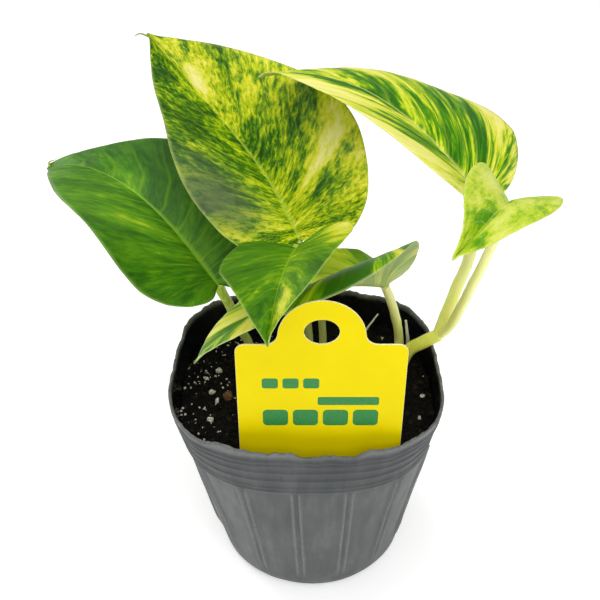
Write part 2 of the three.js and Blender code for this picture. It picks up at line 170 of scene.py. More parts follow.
floor_mesh = bpy.data.meshes.new("table_top")
floor_mesh.from_pydata(
    [(x * FLOOR_HALF, y * FLOOR_HALF, 0) for x, y in ((-1, -1), (1, -1), (1, 1), (-1, 1))],
    [], [(0, 1, 2, 3)])
floor = add_object("table_top", floor_mesh)
floor_finish, tree, shader = new_material(
    "table_top", Roughness=0.8, Emission_Color=(1, 1, 1, 1), Emission_Strength=FLOOR_GLOW)
paint(shader, ramp(cloudy(own_place(tree), PAPER_GRAIN), [(0, PAPER_DULL), (1, PAPER_BRIGHT)]))
floor_mesh.materials.append(floor_finish)


# ---- Pot ----
# A soft vacuum-formed black film pot: rings run round its upper band, pairs of fine ridges run
# down its sides, and its mouth is pressed a little square. It stands on its own rounded foot.

POT_LOW, POT_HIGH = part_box("pot")
POT_HEIGHT = POT_HIGH.z - POT_LOW.z
POT_SQUARENESS = 0.0029
POT_LIP = 0.0005
POT_LIP_HEIGHT = 0.0004
POT_RIM_RADIUS = (POT_HIGH.y - POT_LOW.y) / 2 + POT_SQUARENESS - POT_LIP
POT_BASE_RADIUS = 0.0327
POT_RIM_SIDE = -0.0033
POT_FOOT_SIDE = -0.0014
POT_WALL = 0.0007
POT_FLOOR = 0.0012
POT_FOOT_ROUND = 0.004
POT_BAND_FOOT = POT_HEIGHT - 0.018
POT_RIB_FOOT = 0.008
POT_RIB_TURN = math.radians(-5.4)
POT_RINGS = (0.0722, 0.0704, 0.0672, 0.0634, 0.0597, 0.0579)
POT_RING_DEPTH = 0.00048
POT_RING_WIDTH = 0.00050
POT_SIDES = 640


def pot_radius(height):
    return POT_BASE_RADIUS + (POT_RIM_RADIUS - POT_BASE_RADIUS) * height / POT_HEIGHT


def pot_side(height):
    return POT_FOOT_SIDE + (POT_RIM_SIDE - POT_FOOT_SIDE) * height / POT_HEIGHT


def ringed_radius(height):
    rings = sum(math.exp(-((height - ring) / POT_RING_WIDTH) ** 2) for ring in POT_RINGS)
    return pot_radius(height) + POT_RING_DEPTH * rings


def note(mesh, label, column):
    """Writes down one value for each of a mesh's points."""
    mesh.attributes.new(label, "FLOAT", "POINT").data.foreach_set("value", column)


def turned_shell(name, profile, sides, label, row_values):
    """A profile of (radius, height) turned about Z into a closed mesh, with a value for each row."""
    mesh = bpy.data.meshes.new(name)
    points = []
    rings = []
    values = []
    for (radius, height), value in zip(profile, row_values):
        count = sides if radius > 0 else 1
        rings.append(range(len(points), len(points) + count))
        values += [value] * count
        for i in range(count):
            angle = 2 * math.pi * i / sides
            points.append((radius * math.cos(angle), radius * math.sin(angle), height))
    faces = []
    for low, high in zip(rings, rings[1:]):
        for i in range(sides):
            j = (i + 1) % sides
            corners = [low[i % len(low)], low[j % len(low)], high[j % len(high)], high[i % len(high)]]
            faces.append(list(dict.fromkeys(corners)))
    mesh.from_pydata(points, [], faces)
    note(mesh, label, values)
    mesh.polygons.foreach_set("use_smooth", [True] * len(faces))
    return mesh


def sums(operation, *values):
    """The result of one Math node, in the tree of the sockets that it is given."""
    tree = next(value.id_data for value in values if isinstance(value, bpy.types.NodeSocket))
    return add(tree, "ShaderNodeMath", *values, operation=operation)


def times(first, *others):
    for other in others:
        first = sums("MULTIPLY", first, other)
    return first


def plus(first, *others):
    for other in others:
        first = sums("ADD", first, other)
    return first


def minus(first, second):
    return sums("SUBTRACT", first, second)


def over(first, second):
    return sums("DIVIDE", first, second)


def rescale(value, *ends):
    """A value moved from one run to another: old low and high, then new low and high."""
    return add(value.id_data, "ShaderNodeMapRange", value, *ends)


# Which of the Mix node's inputs are its two colours.
MIXED_COLOURS = (6, 7)


def blend(factor, first, second):
    """One colour laid over another by a factor."""
    node = put(factor.id_data, "ShaderNodeMix", factor, data_type="RGBA")
    for index, colour in zip(MIXED_COLOURS, (first, second)):
        feed(node.inputs[index], rgb(*colour) if isinstance(colour, tuple) else colour)
    return node.outputs[2]


def noted(tree, label):
    """The value that a mesh's points hold under a label."""
    return put(tree, "ShaderNodeAttribute", attribute_name=label).outputs["Fac"]


# Most of a noise value lies in this run.
NOISE_RUN = (0.3, 0.7)


def roughen(shader, value, low, high):
    """Roughness that goes from low to high with a noise value."""
    feed(shader.inputs["Roughness"], rescale(value, *NOISE_RUN, low, high))


def emboss(shader, relief, strength, depth):
    bump = add(shader.id_data, "ShaderNodeBump", Strength=strength, Distance=depth, Height=relief)
    feed(shader.inputs["Normal"], bump)


# What each named socket of a node group carries, where that isn't a plain value.
SOCKET_KINDS = {"Geometry": "Geometry", "Material": "Material", "Place": "Vector", "Facets": "Int",
                "Sides": "Int", "Seed": "Int"}


def node_group(kind, name, inputs, outputs):
    """An empty node group with named sockets. Returns it with the sockets of its two ends."""
    tree = bpy.data.node_groups.new(name, kind)
    for way, labels in (("INPUT", inputs), ("OUTPUT", outputs)):
        for label in labels:
            socket = "NodeSocket" + SOCKET_KINDS.get(label, "Float")
            tree.interface.new_socket(label, in_out=way, socket_type=socket)
    return tree, tree.nodes.new("NodeGroupInput").outputs, tree.nodes.new("NodeGroupOutput").inputs


def shape_tree(name, *inputs):
    """A Geometry Nodes tree that takes a mesh, some values and a material, and gives a shape."""
    return node_group("GeometryNodeTree", name, ("Geometry", *inputs, "Material"), ("Geometry",))


def hand_out(body, given, result):
    """Makes a shape one plain mesh, gives it its material and sends it out of its tree."""
    body = add(body.id_data, "GeometryNodeRealizeInstances", body)
    feed(result[0], add(body.id_data, "GeometryNodeSetMaterial", body, Material=given["Material"]))


def plain_mesh(thing):
    """The mesh that an object comes to once its modifiers are worked out. The object is removed."""
    graph = bpy.context.evaluated_depsgraph_get()
    mesh = bpy.data.meshes.new_from_object(thing.evaluated_get(graph), depsgraph=graph)
    bpy.data.objects.remove(thing)
    return mesh


def grown(name, start, tree, **values):
    """A plain-mesh object made by running a Geometry Nodes tree on a starting mesh."""
    seed = add_object(name + "_start", start)
    modifier = seed.modifiers.new("shape", "NODES")
    modifier.node_group = tree
    for item in tree.interface.items_tree:
        label = item.name.replace(" ", "_").lower()
        if item.in_out == "INPUT" and label in values:
            modifier[item.identifier] = values[label]
    mesh = plain_mesh(seed)
    mesh.name = name
    return add_object(name, mesh)


# The rows of the pot's profile: base, rounded foot, side, ringed band, rolled lip and inside.
BASE_ROWS = (0, 0.010, 0.020)
SIDE_STEP = 0.0022
RING_STEP = 0.00042
RING_ROWS_FOOT = POT_BAND_FOOT - 0.002
RING_ROWS_TOP = POT_HEIGHT - 0.0008
INSIDE_TOP = POT_HEIGHT - 0.003
INSIDE_FOOT = 0.006
INSIDE_STEP = 0.003

foot = [(POT_BASE_RADIUS - POT_FOOT_ROUND * (1 - math.sin(a)), POT_FOOT_ROUND * (1 - math.cos(a)))
        for a in np.radians(range(0, 90, 10))]
side_heights = [*np.arange(POT_FOOT_ROUND, RING_ROWS_FOOT, SIDE_STEP),
                *np.arange(RING_ROWS_FOOT, RING_ROWS_TOP, RING_STEP)]
rim = [(pot_radius(POT_HEIGHT) + POT_LIP * math.sin(a) - POT_WALL / 2,
        POT_HEIGHT - POT_LIP_HEIGHT + POT_LIP_HEIGHT * math.cos(a))
       for a in np.radians(range(80, -81, -20))]
outer_rows = [*((radius, 0) for radius in BASE_ROWS), *foot, *((ringed_radius(h), h) for h in side_heights)]
inner_rows = [*((pot_radius(h) - POT_WALL, h) for h in np.arange(INSIDE_TOP, INSIDE_FOOT, -INSIDE_STEP)),
              (POT_BASE_RADIUS - POT_FOOT_ROUND, POT_FLOOR), (0, POT_FLOOR)]
inside_rows = [0] * len(outer_rows) + [0.5] * len(rim) + [1] * len(inner_rows)
pot_start = turned_shell("pot_start", outer_rows + rim + inner_rows, POT_SIDES, "inside", inside_rows)

# The film is pressed: a tree moves each point by rib, squareness, lean and a loose waviness.
RIB_FOOT_FADE = 0.006
RIB_TOP_FADE = 0.0015

tree, given, result = shape_tree(
    "Pressed film", "Ribs", "Rib turn", "Ridge height", "Ridge spacing", "Ridge width", "Rib foot",
    "Rib top", "Height", "Base radius", "Rim radius", "Squareness", "Foot side", "Rim side", "Waviness",
    "Rim ripple")
place = add(tree, "GeometryNodeInputPosition")
x, y, z = put(tree, "ShaderNodeSeparateXYZ", place).outputs
angle = sums("ARCTAN2", y, x)
radius = sums("SQRT", plus(times(x, x), times(y, y)))
share = over(z, given["Height"])
widening = minus(given["Rim radius"], given["Base radius"])
hold = sums("MINIMUM", 1.0, over(radius, plus(given["Base radius"], times(widening, share))))
square = times(share, share, sums("COSINE", times(angle, 4.0)), times(given["Squareness"], -1.0))
turns = over(times(minus(angle, given["Rib turn"]), given["Ribs"]), 2 * math.pi)
off_rib = minus(turns, sums("ROUND", turns))
rib_gap = over(times(radius, 2 * math.pi), given["Ribs"])
from_rib = sums("ABSOLUTE", times(off_rib, rib_gap))
narrow = over(minus(from_rib, given["Ridge spacing"]), given["Ridge width"])
above = rescale(z, given["Rib foot"], plus(given["Rib foot"], RIB_FOOT_FADE))
below = rescale(z, minus(given["Rib top"], RIB_TOP_FADE), given["Rib top"], 1.0, 0.0)
ridge = times(sums("EXPONENT", times(narrow, narrow, -1.0)), times(above, below))
loose = times(minus(cloudy(place, 42.0, detail=1.5), 0.5), given["Waviness"])
push = plus(times(ridge, given["Ridge height"]), plus(square, loose))
pressed = plus(radius, times(push, hold))
crinkle = minus(cloudy(place, 95.0, detail=3.0, rough=0.55), 0.5)
rise = times(crinkle, given["Rim ripple"], rescale(share, 0.9, 1.0))
lean = times(minus(given["Rim side"], given["Foot side"]), share)
new_x = plus(times(pressed, sums("COSINE", angle)), plus(given["Foot side"], lean))
new_y = times(pressed, sums("SINE", angle))
moved = add(tree, "ShaderNodeCombineXYZ", new_x, new_y, plus(z, rise))
body = add(tree, "GeometryNodeStoreNamedAttribute", given["Geometry"], None, "ridge", ridge)
body = add(tree, "GeometryNodeSetPosition", body, Position=moved)
hand_out(body, given, result)
pressed_film = tree

# Black film, greyed outside by dust, scuffs and a painted sheen, left dark and glossy inside.
POT_GREY = (77, 80, 80)
POT_DARK = (45, 48, 52)
POT_SCUFF_AND_HIGHLIGHT = (130, 132, 131)
POT_INSIDE = (6, 8, 13)
BAND_SHADE = 0.42
BAND_SHADE_RUN = (POT_BAND_FOOT - 0.004, POT_BAND_FOOT + 0.006)
LIP_SCUFF_AND_HIGHLIGHT_RUN = (POT_HEIGHT - 0.0026, POT_HEIGHT - 0.0008)
INSIDE_GLOSS = 0.22

pot_finish, tree, shader = new_material("pot_film", Specular_IOR_Level=0.4)
place = own_place(tree)
height = put(tree, "ShaderNodeSeparateXYZ", place).outputs[2]
cloud = cloudy(place, 55, detail=5, rough=0.6)
grit = cloudy(place, 900, detail=3, rough=0.6)
stretched = add(tree, "ShaderNodeMapping", place, Scale=(1, 1, 0.16))
runs = cloudy(stretched, 240, detail=4, rough=0.6)
tone = plus(times(cloud, 0.5), times(runs, 0.5))
outside = ramp(tone, [(0.2, POT_DARK), (0.5, POT_GREY), (0.95, POT_SCUFF_AND_HIGHLIGHT)])
outside = blend(rescale(height, *BAND_SHADE_RUN, 0.0, BAND_SHADE), outside, POT_DARK)
# The lip and the ridges are lightened in patches with the scuff colour: partly scuffs, partly painted
# highlights where light catches their edges.
lip = times(rescale(height, *LIP_SCUFF_AND_HIGHLIGHT_RUN), grit)
wear_and_highlight = sums("MAXIMUM", times(noted(tree, "ridge"), grit), lip)
outside = blend(wear_and_highlight, outside, POT_SCUFF_AND_HIGHLIGHT)
within = rescale(noted(tree, "inside"), 0.5, 0.8)
paint(shader, blend(within, outside, POT_INSIDE))
sheen = minus(rescale(cloud, *NOISE_RUN, 0.42, 0.58), times(within, INSIDE_GLOSS))
feed(shader.inputs["Roughness"], sheen)
relief = plus(times(runs, 0.6), times(grit, 0.25))
emboss(shader, relief, strength=0.35, depth=0.0004)

pot = grown("film_pot", pot_start, pressed_film, ribs=16.0, rib_turn=POT_RIB_TURN, ridge_height=0.0009,
            ridge_spacing=0.0011, ridge_width=0.00042, rib_foot=POT_RIB_FOOT, rib_top=POT_BAND_FOOT,
            height=POT_HEIGHT, base_radius=POT_BASE_RADIUS, rim_radius=POT_RIM_RADIUS,
            squareness=POT_SQUARENESS, foot_side=POT_FOOT_SIDE, rim_side=POT_RIM_SIDE,
            waviness=0.0012, rim_ripple=0.0075, material=pot_finish)
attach(pot, "root")
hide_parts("pot")


# ---- Soil ----
# Dark peat that fills the pot to a little below the rim. Its top is a loose heap of crumbs, with
# specks of white perlite that lie thickest at the left.

SOIL_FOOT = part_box("soil")[0].z
SOIL_TOP = POT_HEIGHT - 0.0105
SOIL_EDGE = pot_radius(SOIL_TOP) - POT_WALL - 0.0003
SOIL_CLEARANCE = 0.0005
SOIL_SIDES = 200
SOIL_RINGS = 46
SOIL_LUMP = 0.0016
SOIL_LUMP_SCALE = 130
SOIL_LUMP_OCTAVES = (1, 2, 4)
TINY = 1e-6

side_heights = np.linspace(0.006, SOIL_TOP - 0.002, 8)
soil_rows = [(0, SOIL_FOOT), (POT_BASE_RADIUS - POT_FOOT_ROUND, SOIL_FOOT),
             *((pot_radius(h) - POT_WALL - SOIL_CLEARANCE, h) for h in side_heights),
             *((SOIL_EDGE * share, SOIL_TOP) for share in np.linspace(1, 0, SOIL_RINGS))]
on_top = [0] * (len(soil_rows) - SOIL_RINGS) + [1] * SOIL_RINGS
soil_start = turned_shell("soil_start", soil_rows, SOIL_SIDES, "top", on_top)
for vertex, top in zip(soil_start.vertices, soil_start.attributes["top"].data):
    x, y, z = vertex.co
    out = math.hypot(x, y)
    hold = min(1, out / pot_radius(z))
    square = POT_SQUARENESS * (z / POT_HEIGHT) ** 2 * math.cos(4 * math.atan2(y, x))
    press = 1 - square * hold / max(TINY, out)
    lump = noise.fractal(Vector((x, y, 0)) * SOIL_LUMP_SCALE, *SOIL_LUMP_OCTAVES) * SOIL_LUMP * top.value
    vertex.co = (x * press + pot_side(z), y * press, z + lump)


def jostled(body, scale, amount, rough=0.5):
    """A shape whose points are pushed about by a noise."""
    tree = body.id_data
    place = add(tree, "GeometryNodeInputPosition")
    push = put(tree, "ShaderNodeTexNoise", place, Scale=scale, Roughness=rough).outputs["Color"]
    push = add(tree, "ShaderNodeVectorMath", push, (0.5, 0.5, 0.5), operation="SUBTRACT")
    push = add(tree, "ShaderNodeVectorMath", push, operation="SCALE", Scale=amount)
    return add(tree, "GeometryNodeSetPosition", body, Offset=push)


# Broken crumbs: points with a size each become rough little lumps.
CRUMB_INPUTS = ("Facets", "Roughness", "Grain", "Flatness", "Seed")
WHOLE_TURN = (6.28, 6.28, 6.28)

tree, given, result = shape_tree("Crumbs at points", *CRUMB_INPUTS)
lump = add(tree, "GeometryNodeMeshIcoSphere", 1.0, given["Facets"])
size = add(tree, "GeometryNodeInputNamedAttribute", "size")
flat = add(tree, "ShaderNodeCombineXYZ", size, size, times(size, given["Flatness"]))
turn = add(tree, "FunctionNodeRandomValue", (0, 0, 0), WHOLE_TURN, data_type="FLOAT_VECTOR",
           Seed=given["Seed"])
lumps = add(tree, "GeometryNodeInstanceOnPoints", given["Geometry"], Instance=lump, Rotation=turn,
            Scale=flat)
tone = put(tree, "FunctionNodeRandomValue", data_type="FLOAT", Seed=given["Seed"]).outputs[1]
lumps = add(tree, "GeometryNodeStoreNamedAttribute", lumps, None, "tone", tone, domain="INSTANCE")
lumps = add(tree, "GeometryNodeRealizeInstances", lumps)
hand_out(jostled(lumps, given["Grain"], given["Roughness"], rough=0.6), given, result)
crumbs_at_points = tree

# The same crumbs scattered over a surface's upper side, thicker where a broad noise is high.
tree, given, result = shape_tree("Scattered crumbs", "Density", "Least size", "Most size", "Patchiness",
                                 "Left bias", *CRUMB_INPUTS)
place = add(tree, "GeometryNodeInputPosition")
x = add(tree, "ShaderNodeSeparateXYZ", place)
top = add(tree, "GeometryNodeInputNamedAttribute", "top")
drift = plus(cloudy(place, 70.0), times(x, given["Left bias"]))
patchy = sums("POWER", sums("MAXIMUM", drift, 0.0), given["Patchiness"])
dense = times(patchy, given["Density"], sums("FLOOR", plus(top, 0.01)))
spots = add(tree, "GeometryNodeDistributePointsOnFaces", given["Geometry"], Density=dense,
            Seed=given["Seed"])
size = put(tree, "FunctionNodeRandomValue", data_type="FLOAT", Seed=given["Seed"])
for label, source in (("Min", "Least size"), ("Max", "Most size")):
    feed(next(s for s in size.inputs if s.name == label and s.type == "VALUE"), given[source])
sized = add(tree, "GeometryNodeStoreNamedAttribute", spots, None, "size", size.outputs[1])
crumbs = put(tree, "GeometryNodeGroup", sized, node_tree=crumbs_at_points)
for label in (*CRUMB_INPUTS, "Material"):
    feed(crumbs.inputs[label], given[label])
hand_out(crumbs.outputs[0], given, result)
scattered_crumbs = tree

PEAT_DARK = (4, 4, 3)
PEAT_BROWN = (20, 16, 12)
PEAT_FIBRE = (66, 56, 44)
PERLITE_WHITE = (232, 229, 220)
PERLITE_SHADE = (168, 163, 150)

peat_finish, tree, shader = new_material("peat", Specular_IOR_Level=0.15)
place = own_place(tree)
fine = cloudy(place, 1500, detail=5, rough=0.7)
broad = cloudy(place, 160, detail=3)
own = times(sums("POWER", noted(tree, "tone"), 6.0), 0.28)
tone = plus(times(fine, 0.55), times(broad, 0.25), own)
paint(shader, ramp(tone, [(0.36, PEAT_DARK), (0.58, PEAT_BROWN), (0.86, PEAT_FIBRE)]))
roughen(shader, fine, low=0.55, high=0.95)
emboss(shader, fine, strength=0.9, depth=0.0006)

soil_start.materials.append(peat_finish)
crumb_heap = grown("peat_crumbs", soil_start, scattered_crumbs, density=900000.0, least_size=0.00025,
                   most_size=0.0011, patchiness=0.7, left_bias=0.0, facets=1, roughness=0.0006,
                   grain=900.0, flatness=0.75, seed=3, material=peat_finish)

perlite_finish, tree, shader = new_material("perlite", Specular_IOR_Level=0.3)
pits = cloudy(own_place(tree), 2200, detail=4, rough=0.65)
paint(shader, ramp(pits, [(0.38, PERLITE_SHADE), (0.55, PERLITE_WHITE)]))
roughen(shader, pits, low=0.6, high=0.95)
emboss(shader, pits, strength=0.6, depth=0.0004)

speck_field = grown("perlite_specks", soil_start, scattered_crumbs, density=150000.0, least_size=0.00018,
                    most_size=0.0006, patchiness=3.2, left_bias=-9.0, facets=1, roughness=0.0004,
                    grain=1400.0, flatness=0.8, seed=11, material=perlite_finish)
soil = add_object("peat_bed", soil_start)
for piece, slot in ((soil, "soil"), (crumb_heap, "soil"), (speck_field, "perlite")):
    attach(piece, "root")
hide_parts("soil")


# ---- Perlite grains and bark ----
# The larger grains of expanded white perlite, and one chip of brown bark, lie half sunk in the
# peat where each was dropped.

GRAIN_NAMES = [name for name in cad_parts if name.startswith("perlite_")]


def points_at(name, nodes):
    """A mesh of one point at each node's centre, with the node's mean half size."""
    boxes = [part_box(node) for node in nodes]
    mesh = bpy.data.meshes.new(name)
    mesh.from_pydata([(low + high) / 2 for low, high in boxes], [], [])
    note(mesh, "size", [sum(high - low) / 6 for low, high in boxes])
    return mesh


BARK_LIGHT = (150, 104, 62)
BARK_DARK = (62, 38, 24)

bark_finish, tree, shader = new_material("bark", Roughness=0.85)
grain = add(tree, "ShaderNodeMapping", own_place(tree), Rotation=(0, 0, 0.6), Scale=(0.3, 1, 1))
grain = cloudy(grain, 1300, detail=5, rough=0.65)
paint(shader, ramp(grain, [(0.36, BARK_DARK), (0.62, BARK_LIGHT)]))
emboss(shader, grain, strength=0.8, depth=0.0005)

grains = grown("perlite_grains", points_at("grain_points", GRAIN_NAMES), crumbs_at_points, facets=3,
               roughness=0.0024, grain=640.0, flatness=0.7, seed=5, material=perlite_finish)
bark = grown("bark_lump", points_at("bark_point", ["bark_chip"]), crumbs_at_points, facets=4,
             roughness=0.0022, grain=480.0, flatness=0.8, seed=2, material=bark_finish)
for piece, nodes, slot in ((grains, GRAIN_NAMES, "perlite"), (bark, ["bark_chip"], "dry_matter")):
    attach(piece, "root")
    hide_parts(*nodes)


# ---- Stalks and vine ----
# Fleshy stems: a leaf stalk to each blade, and the short thick vine at the right that two of the
# stalks fork from. They grow out of the soil. A dry sheath and a sliver of straw stand by them.

STEM_BURIED = 0.022
VINE_FORK = (0.0418, 0.0072, 0.0164)

# Each route runs through chosen points: x, y and rise above the soil. Then the two end radii.
STEMS = {
    "stalk_large_mottled": ([(-.002, .024, -STEM_BURIED), (-.002, .024, .002), (-.004, .0225, .022),
                             (-.006, .0195, .040), (-.0057, .011, .0512)], .0015, .0012),
    "stalk_left": ([(-.0226, .014, -STEM_BURIED), (-.023, .014, .004), (-.0252, .012, .014),
                    (-.0285, .009, .026), (-.032, .0057, .0373)], .0014, .0017),
    "stalk_front": ([(.003, .025, -STEM_BURIED), (.003, .025, .002), (.0015, .0245, .024),
                     (0, .023, .038), (-.0015, .016, .0455), (-.003, .005, .0505),
                     (-.0065, -.007, .0582)], .0014, .0012),
    "stalk_low_folded": ([(.030, .017, -STEM_BURIED), (.030, .017, .005), (.0284, .014, .0158),
                          (.0256, .010, .0267), (.0225, .0077, .0359)], .0017, .0015),
    "stalk_arching": ([VINE_FORK, (.0445, .0095, .0252), (.0473, .012, .0336), (.0506, .015, .0427),
                       (.053, .020, .0606)], .0022, .0018),
    "stalk_small_right": ([VINE_FORK, (.0446, .004, .0225), (.0459, -.0025, .0345), (.0468, -.010, .048),
                           (.0489, -.015, .062), (.0518, -.017, .0777)], .0018, .0013),
    "vine_right": ([(.029, .009, -STEM_BURIED), (.0295, .009, -.002), (.032, .0084, .0085),
                    (.037, .0076, .0132), VINE_FORK], .0023, .0023),
    "dry_sheath": ([(.0336, .0186, -.006), (.0334, .0183, .005), (.0318, .0172, .0155)], .0009, .0004),
    "straw_sliver": ([(.0175, .029, -.0015), (.0195, .0315, .0015), (.024, .036, .0055)], .0005, .0003),
}


def smooth_route(points, steps):
    """Points along a smooth curve through the given ones."""
    ends = [2 * points[0] - points[1], *points, 2 * points[-1] - points[-2]]
    route = []
    for a, b, c, d in zip(ends, ends[1:], ends[2:], ends[3:]):
        for t in np.arange(0, 1, 1 / steps):
            curve = (2 * b + (c - a) * t + (2 * a - 5 * b + 4 * c - d) * t ** 2
                     + (3 * b - a - 3 * c + d) * t ** 3)
            route.append(curve / 2)
    return [*route, points[-1]]


def route_mesh(name, points, radii):
    """A chain of edges along a route, with the stem's radius at each point and its share of length."""
    mesh = bpy.data.meshes.new(name)
    mesh.from_pydata(points, [(i, i + 1) for i in range(len(points) - 1)], [])
    note(mesh, "thickness", radii)
    note(mesh, "along", np.linspace(0, 1, len(points)))
    return mesh


tree, given, result = shape_tree("Fleshy stem", "Sides", "Unevenness", "Lump scale")
chain = add(tree, "GeometryNodeMeshToCurve", given["Geometry"])
ring = add(tree, "GeometryNodeCurvePrimitiveCircle", given["Sides"], Radius=1.0)
thick = add(tree, "GeometryNodeInputNamedAttribute", "thickness")
tube = add(tree, "GeometryNodeCurveToMesh", chain, ring, thick, True)
tube = jostled(tube, given["Lump scale"], given["Unevenness"])
tube = add(tree, "GeometryNodeSetShadeSmooth", tube, None, True)
hand_out(tube, given, result)
fleshy_stem = tree


def stem_finish(name, low, high, streak, roughness):
    """A juicy stem: fine lengthwise lines over a colour that changes from foot to top."""
    material, tree, shader = new_material(name, Subsurface_Weight=0.12, Subsurface_Scale=0.003)
    place = own_place(tree)
    lengthwise = add(tree, "ShaderNodeMapping", place, Scale=(1, 1, 0.12))
    lines = cloudy(lengthwise, 1500, detail=3, rough=0.6)
    cloud = cloudy(place, 130, detail=3)
    body = blend(plus(noted(tree, "along"), minus(cloud, 0.5)), low, high)
    paint(shader, blend(rescale(lines, 0.5, 0.68, 0.0, 0.6), body, streak))
    roughen(shader, cloud, roughness - 0.06, roughness + 0.08)
    emboss(shader, lines, strength=0.3, depth=0.0003)
    return material


green_stem = stem_finish("stalk_green", (224, 230, 150), (172, 204, 50), (236, 240, 180), 0.38)
pale_stem = stem_finish("stalk_pale", (246, 250, 120), (250, 252, 170), (255, 255, 210), 0.4)
vine_stem = stem_finish("vine_skin", (190, 200, 16), (236, 240, 104), (244, 244, 130), 0.36)
dry_stem = stem_finish("dry_skin", (214, 206, 178), (236, 234, 222), (188, 176, 148), 0.75)
STEM_FINISHES = {
    "stalk_low_folded": (pale_stem, "stalk"), "stalk_arching": (pale_stem, "stalk"),
    "stalk_small_right": (pale_stem, "stalk"), "vine_right": (vine_stem, "vine"),
    "dry_sheath": (dry_stem, "dry_matter"), "straw_sliver": (dry_stem, "dry_matter"),
}

STEM_SIDES = 20
ROUTE_STEPS = 10

for name, (points, foot_radius, top_radius) in STEMS.items():
    chosen = [Vector((x, y, SOIL_TOP + rise)) for x, y, rise in points]
    route = smooth_route(chosen, ROUTE_STEPS)
    radii = np.linspace(foot_radius, top_radius, len(route))
    finish, slot = STEM_FINISHES.get(name, (green_stem, "stalk"))
    stem = grown(name + "_stem", route_mesh(name + "_route", route, radii), fleshy_stem,
                 sides=STEM_SIDES, unevenness=0.0005, lump_scale=160.0, material=finish)
    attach(stem, "root")
    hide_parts(name)


# ---- Leaf blades ----
# Six waxy heart-shaped blades, each one thin sheet folded along its midrib, with quilted side
# veins and a fine pale edge. Each is grown on the end of its own stalk.

BLADE_THICKNESS = 0.0006
BLADE_RIBS = 20
BLADE_ROWS = 112
SPINE_STEPS = 24
VEIN_COUNT = 13
VEIN_CURVE = 1.3
VEIN_STAGGER = 0.25
QUILTING = 0.00022
QUILT_LEVEL = 0.6
WAVE_COUNT = 2.6
WAVE_STAGGER = 0.3
EDGE_THINNING = 0.55
KEEL_DEPTH = 0.0007
KEEL_WIDTH = 0.0012
GROOVE_DEPTH = 0.00025
GROOVE_NARROWING = 1.6
OUTLINE_START = 0.03
OUTLINE_END = 0.985

# Half of a leaf's outline, from the notch at the stalk round the basal lobe to the tip: share of
# the half width, share of the length.
LEAF_OUTLINE = [(0, 0), (0.22, -0.085), (0.5, -0.1), (0.8, -0.03), (0.97, 0.12), (1, 0.28),
                (0.91, 0.47), (0.71, 0.65), (0.46, 0.8), (0.22, 0.91), (0.07, 0.97), (0, 1)]

# Angles in degrees. "late" moves the droop to the tip, "lopsided" widens the right half, "lobes"
# shortens the basal lobes, "fold" is each half's rise at base, middle and tip, "curl" is how much
# further it turns by the margin, "wave" is how far the margin undulates, and "slant" gathers the
# side veins toward the base.
LEAVES = {
    "leaf_large_mottled": dict(
        heading=109, pitch=23.5, roll=11.5, length=.098, half_width=.0354, droop=-38, late=1.2,
        sweep=38, twist=17.5, lopsided=.02, left_fold=(34, 27, 8), left_curl=-1.5,
        right_fold=(39.5, 34, 23.5), right_curl=2.5, wave=.0009, slant=2.7),
    "leaf_left": dict(
        heading=123, pitch=15, roll=2, length=.0944, half_width=.0356, droop=40, late=2.35,
        sweep=33, twist=6, lopsided=.02, left_fold=(23, 22, -11), left_curl=-2.5,
        right_fold=(30, 14.5, 9.5), right_curl=-9.5, wave=.0009, slant=2.7),
    "leaf_front": dict(
        heading=-98, pitch=17.5, roll=-12, length=.0554, half_width=.0195, droop=35.5, late=.7,
        sweep=-4.5, twist=3, lopsided=-.02, left_fold=(24.5, 22.5, 42.5), left_curl=-7,
        right_fold=(17, 21, 59), right_curl=-13, wave=.0005, slant=3),
    "leaf_low_folded": dict(
        heading=211, pitch=23.5, roll=-20, length=.0753, half_width=.0229, droop=46, late=.1,
        sweep=-5.5, twist=19, lopsided=-.03, left_fold=(86, 32, 7.5), left_curl=-74,
        right_fold=(33, 13, 8.5), right_curl=1.5, wave=.0004, slant=3.6),
    "leaf_arching": dict(
        heading=176, pitch=53, roll=19.3, length=.0902, half_width=.037, droop=71, late=.43,
        sweep=-35, twist=54, lopsided=.26, lobes=.75, left_fold=(31, -14, -32.5), left_curl=1.5,
        right_fold=(24.5, 32, 36), right_curl=-42, wave=.0006, slant=4.4),
    "leaf_small_right": dict(
        heading=-105, pitch=37, roll=17.5, length=.0469, half_width=.0134, droop=51, late=-.85,
        sweep=-9, twist=-5.5, lopsided=-.05, left_fold=(41, 34, 41), left_curl=-20,
        right_fold=(37.5, 26.5, 66), right_curl=.5, wave=.0004, slant=2.7),
}


def spine_of(leaf, base):
    """The midrib's places and directions, as rows of place, along, up and side."""
    heading, pitch = math.radians(leaf["heading"]), math.radians(leaf["pitch"])
    flat = Vector((math.cos(heading), math.sin(heading), 0))
    along = flat * math.cos(pitch) + Vector((0, 0, math.sin(pitch)))
    up = flat * -math.sin(pitch) + Vector((0, 0, math.cos(pitch)))
    side = up.cross(along)
    rolled = Quaternion(along, -math.radians(leaf["roll"]))
    axes = [along, rolled @ up, rolled @ side]
    at = Vector(base)
    rows = [[*at, *axes[0], *axes[1], *axes[2]]]
    for i in range(SPINE_STEPS):
        late = 1 + leaf["late"] * (2 * (i + 0.5) / SPINE_STEPS - 1)
        turn = Quaternion(axes[2], math.radians(leaf["droop"]) * late / SPINE_STEPS)
        turn = turn @ Quaternion(axes[1], math.radians(leaf["sweep"]) / SPINE_STEPS)
        turn = turn @ Quaternion(axes[0], math.radians(leaf["twist"]) / SPINE_STEPS)
        at = at + axes[0] * leaf["length"] / SPINE_STEPS / 2
        axes = [turn @ axis for axis in axes]
        at = at + axes[0] * leaf["length"] / SPINE_STEPS / 2
        rows.append([*at, *axes[0], *axes[1], *axes[2]])
    return np.array(rows)


